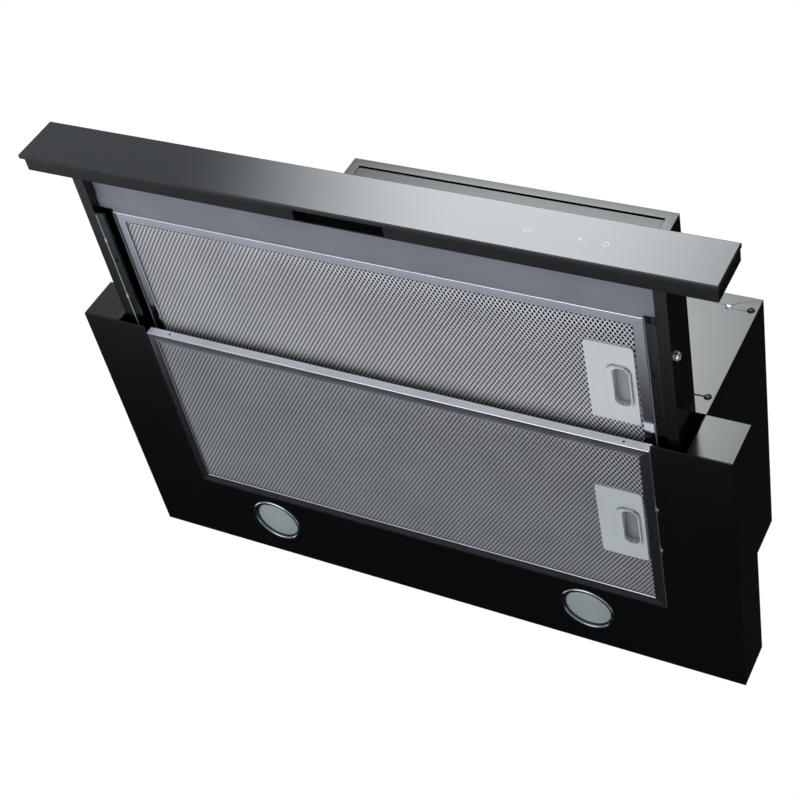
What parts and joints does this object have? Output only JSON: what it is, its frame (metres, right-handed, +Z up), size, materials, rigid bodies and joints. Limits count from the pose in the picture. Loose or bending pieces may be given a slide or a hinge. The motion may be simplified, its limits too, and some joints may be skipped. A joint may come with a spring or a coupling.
{
  "type": "range hood",
  "caption": "Pull-out range hood for a wall cabinet: glass-fronted tray on ball slides, two mesh grease filters, lamps, blower and duct collar with non-return flaps.",
  "frame": {"origin": "centre of the four cabinet screw holes, on the top faces of the wings", "axes": "+X right as seen from the front, +Y towards the wall, +Z up"},
  "size_m": [0.6, 0.458, 0.3035],
  "materials": {
    "black_steel": "semi-gloss black powder coat",
    "fascia_glass": "grey reflective coated glass",
    "bar_plastic": "satin black moulded ABS",
    "tray_sheet": "satin grey painted steel",
    "filter_frame": "folded aluminium",
    "filter_mesh": "expanded aluminium mesh",
    "handle_plastic": "light grey moulded ABS",
    "zinc_steel": "zinc-plated steel",
    "chrome": "bright nickel plate",
    "lamp_glass": "pressed glass",
    "black_plastic": "moulded polypropylene",
    "white_plastic": "moulded polypropylene",
    "motor_steel": "varnished steel",
    "board": "printed circuit board"
  },
  "bodies": {
    "case": {"underside_panel": "black_steel", "wing_left": "black_steel", "wing_right": "black_steel", "chassis_shell": "black_steel", "chassis_front": "black_steel", "chassis_rear": "black_steel", "panel_screws_black": "black_steel", "panel_screws_silver": "chrome", "top_box_shell": "black_steel", "top_box_front": "black_steel", "duct_collar": "black_plastic", "damper_pin": "chrome", "blower_scroll": "black_plastic", "inlet_ring": "white_plastic", "motor_bracket": "zinc_steel", "motor": "motor_steel", "control_box": "white_plastic", "control_box_lid": "white_plastic", "cable_gland": "black_plastic", "lamp_bezel_left": "chrome", "lamp_bezel_right": "chrome", "lamp_lens_left": "lamp_glass", "lamp_lens_right": "lamp_glass", "lamp_housing_left": "zinc_steel", "lamp_housing_right": "zinc_steel", "runner_rail_left": "black_steel", "runner_rail_right": "black_steel", "slide_fixed_left": "zinc_steel", "slide_fixed_right": "zinc_steel"},
    "tray": {"glass_fascia": "fascia_glass", "bar_body": "bar_plastic", "touch_board": "board", "arm_left": "black_steel", "arm_right": "black_steel", "arm_screws": "chrome", "tray_cover": "black_steel", "tray_pan": "tray_sheet", "tray_side_rail_left": "tray_sheet", "tray_side_rail_right": "tray_sheet", "tray_rear_rail": "tray_sheet", "slide_moving_left": "zinc_steel", "slide_moving_right": "zinc_steel", "upper_filter_frame": "filter_frame", "upper_filter_mesh": "filter_mesh", "upper_filter_handle": "handle_plastic"},
    "upper_latch": {"upper_filter_latch": "handle_plastic"},
    "lower_filter": {"lower_filter_frame": "filter_frame", "lower_filter_mesh": "filter_mesh", "lower_filter_handle": "handle_plastic"},
    "lower_latch": {"lower_filter_latch": "handle_plastic"},
    "rotor": {"rotor_shaft": "chrome", "impeller": "white_plastic"},
    "damper_left": {"damper_flap_left": "white_plastic"},
    "damper_right": {"damper_flap_right": "white_plastic"},
    "cage_left": {"ball_cage_left": "zinc_steel"},
    "cage_right": {"ball_cage_right": "zinc_steel"}
  },
  "joints": [
    {"name": "tray_slide", "type": "slide", "parent": "case", "child": "tray", "axis": [0, 1, 0], "range_m": [0, 0.1585]},
    {"name": "cage_slide_left", "type": "slide", "parent": "case", "child": "cage_left", "axis": [0, 1, 0], "range_m": [0, 0.0793]},
    {"name": "cage_slide_right", "type": "slide", "parent": "case", "child": "cage_right", "axis": [0, 1, 0], "range_m": [0, 0.0793]},
    {"name": "upper_latch_slide", "type": "slide", "parent": "tray", "child": "upper_latch", "axis": [-1, 0, 0], "range_m": [0, 0.004], "stiffness_N_per_m": 250, "springref_m": -0.002},
    {"name": "lower_filter_swing", "type": "hinge", "parent": "case", "child": "lower_filter", "pos_m": [-0.233, -0.037, -0.042], "axis": [0, 1, 0], "range_deg": [0, 75]},
    {"name": "lower_latch_slide", "type": "slide", "parent": "lower_filter", "child": "lower_latch", "axis": [-1, 0, 0], "range_m": [0, 0.004], "stiffness_N_per_m": 250, "springref_m": -0.002},
    {"name": "impeller_spin", "type": "hinge", "parent": "case", "child": "rotor", "pos_m": [0, -0.0492, 0.108], "axis": [1, 0, 0], "continuous": true},
    {"name": "damper_left_swing", "type": "hinge", "parent": "case", "child": "damper_left", "pos_m": [0, 0.008, 0.2294], "axis": [0, 1, 0], "range_deg": [0, 75]},
    {"name": "damper_right_swing", "type": "hinge", "parent": "case", "child": "damper_right", "pos_m": [0, 0.008, 0.2294], "axis": [0, -1, 0], "range_deg": [0, 75]}
  ],
  "couplings": [
    {"joint": "cage_slide_left", "follows": "tray_slide", "ratio": 0.5},
    {"joint": "cage_slide_right", "follows": "tray_slide", "ratio": 0.5}
  ]
}
